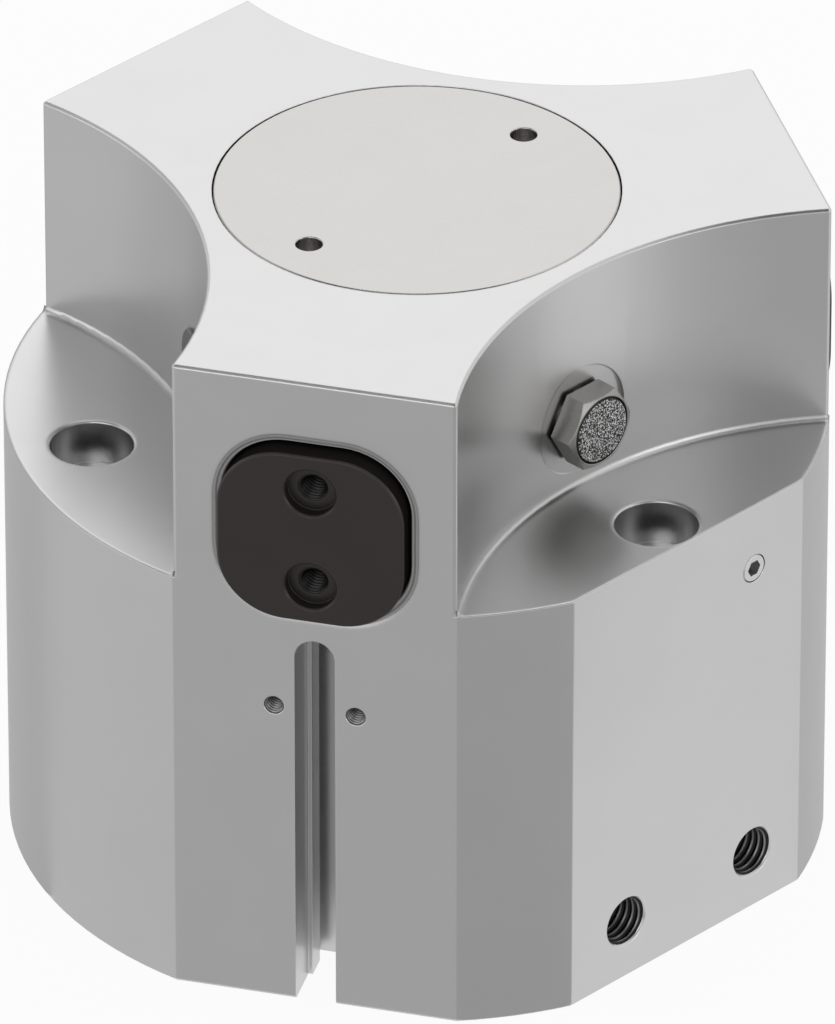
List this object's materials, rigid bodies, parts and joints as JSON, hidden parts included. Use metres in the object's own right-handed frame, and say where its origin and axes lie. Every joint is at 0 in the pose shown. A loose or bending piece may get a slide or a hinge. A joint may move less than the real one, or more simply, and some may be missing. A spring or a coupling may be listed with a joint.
{
  "type": "three-jaw gripper",
  "caption": "Pneumatic concentric gripper: lobed aluminium housing, round-cornered base jaws driven outwards by a wedge-hook piston, side air ports and a silencer.",
  "frame": {"origin": "centre of the lower mounting face, on the gripper axis", "axes": "+Z along the gripper axis from the mounting face to the cover; jaw 1 opens along -Y, jaws 2 and 3 every 120 degrees; the air ports face 30 degrees below +X"},
  "size_m": [0.08, 0.079, 0.0696],
  "materials": {
    "anodised_body": "fine matt anodised",
    "turned_cover": "satin",
    "dark_jaw": "matt blackened",
    "hardened_steel": "ground",
    "screw_steel": "satin",
    "chromed_rod": "polished",
    "machined_aluminium": "turned",
    "seal_rubber": "matt",
    "bumper_rubber": "satin",
    "guide_polymer": "matt",
    "bonded_magnet": "matt",
    "bronze_bush": "satin",
    "spring_steel": "oiled",
    "plated_brass": "nickel plated, satin",
    "sintered_metal": "sintered, porous"
  },
  "bodies": {
    "body": {"housing": "anodised_body", "cover_cap": "turned_cover", "cover_seal": "seal_rubber", "rod_bush": "bronze_bush", "rod_seal": "seal_rubber", "upper_bumper": "bumper_rubber", "lower_bumper": "bumper_rubber", "end_cap": "machined_aluminium", "end_cap_seal": "seal_rubber", "retaining_ring": "spring_steel", "silencer_body": "plated_brass", "silencer_disc": "sintered_metal", "blanking_plug": "plated_brass", "plug_screw": "screw_steel", "riser_plug": "machined_aluminium"},
    "piston": {"piston": "machined_aluminium", "piston_rod": "chromed_rod", "piston_screw": "screw_steel", "piston_seals": "seal_rubber", "piston_guide_ring": "guide_polymer", "piston_magnet": "bonded_magnet", "rod_joint_seal": "seal_rubber", "driver_hub": "hardened_steel", "hub_screw": "screw_steel", "alignment_pin": "hardened_steel"},
    "jaw_1": {"base_jaw_1": "dark_jaw"},
    "jaw_2": {"base_jaw_2": "dark_jaw"},
    "jaw_3": {"base_jaw_3": "dark_jaw"}
  },
  "joints": [
    {"name": "piston_slide", "type": "slide", "parent": "body", "child": "piston", "axis": [0, 0, 1], "range_m": [0, 0.012]},
    {"name": "jaw_1_slide", "type": "slide", "parent": "body", "child": "jaw_1", "axis": [0, -1, 0], "range_m": [0, 0.006]},
    {"name": "jaw_2_slide", "type": "slide", "parent": "body", "child": "jaw_2", "axis": [0.866, 0.5, 0], "range_m": [0, 0.006]},
    {"name": "jaw_3_slide", "type": "slide", "parent": "body", "child": "jaw_3", "axis": [-0.866, 0.5, 0], "range_m": [0, 0.006]}
  ],
  "couplings": [
    {"joint": "jaw_1_slide", "follows": "piston_slide", "ratio": 0.5},
    {"joint": "jaw_2_slide", "follows": "piston_slide", "ratio": 0.5},
    {"joint": "jaw_3_slide", "follows": "piston_slide", "ratio": 0.5}
  ]
}
